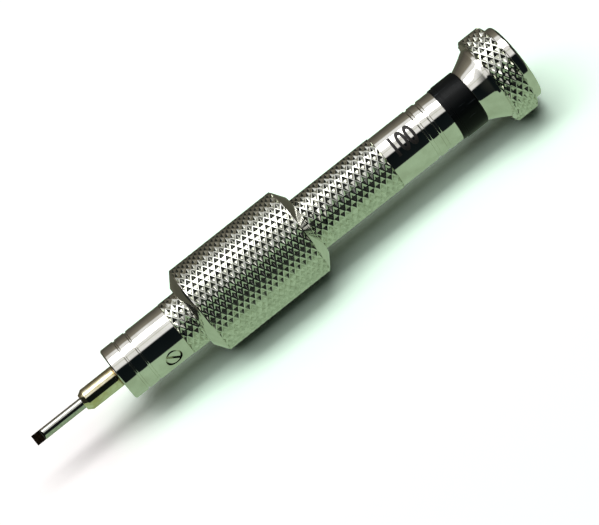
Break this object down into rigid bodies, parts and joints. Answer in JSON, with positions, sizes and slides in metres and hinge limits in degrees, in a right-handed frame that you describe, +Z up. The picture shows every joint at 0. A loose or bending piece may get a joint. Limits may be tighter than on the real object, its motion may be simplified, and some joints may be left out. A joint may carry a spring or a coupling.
{
  "type": "torque screwdriver",
  "caption": "Small preset torque screwdriver with a flat blade, knurled barrel and grip sleeve, slip clutch and swivel head.",
  "frame": {"origin": "on the table under the middle of the tool's length and its axis", "axes": "+X along the tool's axis from the blade towards the swivel head, +Z up from the table it lies on"},
  "size_m": [0.1026, 0.0166, 0.0167],
  "materials": {
    "nickel_plate": "bright nickel plate over turned and knurled metal",
    "blade_steel": "hardened steel, polished shank and dark ground tip",
    "holder_brass": "turned brass",
    "ground_steel": "ground steel",
    "spring_steel": "oiled spring steel",
    "bearing_bronze": "turned bearing bronze",
    "friction_lining": "pressed fibre lining",
    "black_ring": "glossy black moulded ring"
  },
  "bodies": {
    "barrel": {"barrel": "nickel_plate", "front_bush": "bearing_bronze", "nose_screw": "nickel_plate", "thrust_race": "ground_steel", "friction_disc": "friction_lining", "pressure_plate": "ground_steel", "drive_pin": "ground_steel", "torque_spring": "spring_steel", "identification_ring": "black_ring", "end_plug": "ground_steel", "head_washer": "bearing_bronze", "circlip": "spring_steel", "grip_sleeve": "nickel_plate"},
    "spindle": {"spindle": "ground_steel", "bit_holder": "holder_brass", "blade": "blade_steel"},
    "roller_cage": {"thrust_cage": "bearing_bronze", "thrust_rollers": "ground_steel"},
    "seat": {"spring_seat": "ground_steel"},
    "adjuster": {"adjusting_screw": "ground_steel", "lock_ring": "bearing_bronze"},
    "head": {"swivel_head": "nickel_plate", "end_cap": "nickel_plate"}
  },
  "joints": [
    {"name": "spindle_slip", "type": "hinge", "parent": "barrel", "child": "spindle", "pos_m": [0, 0, 0.00835], "axis": [1, 0, 0], "continuous": true},
    {"name": "cage_roll", "type": "hinge", "parent": "barrel", "child": "roller_cage", "pos_m": [0, 0, 0.00835], "axis": [1, 0, 0], "continuous": true},
    {"name": "head_swivel", "type": "hinge", "parent": "barrel", "child": "head", "pos_m": [0, 0, 0.00835], "axis": [1, 0, 0], "continuous": true},
    {"name": "seat_slide", "type": "slide", "parent": "barrel", "child": "seat", "axis": [1, 0, 0], "range_m": [-0.001, 0.0005], "deforming": ["torque_spring"]},
    {"name": "adjuster_turn", "type": "hinge", "parent": "seat", "child": "adjuster", "pos_m": [0, 0, 0.00835], "axis": [1, 0, 0], "range_deg": [-724, 364]}
  ],
  "couplings": [
    {"joint": "cage_roll", "follows": "spindle_slip", "ratio": 0.5},
    {"joint": "adjuster_turn", "follows": "seat_slide", "rad_per_m": 12566}
  ]
}
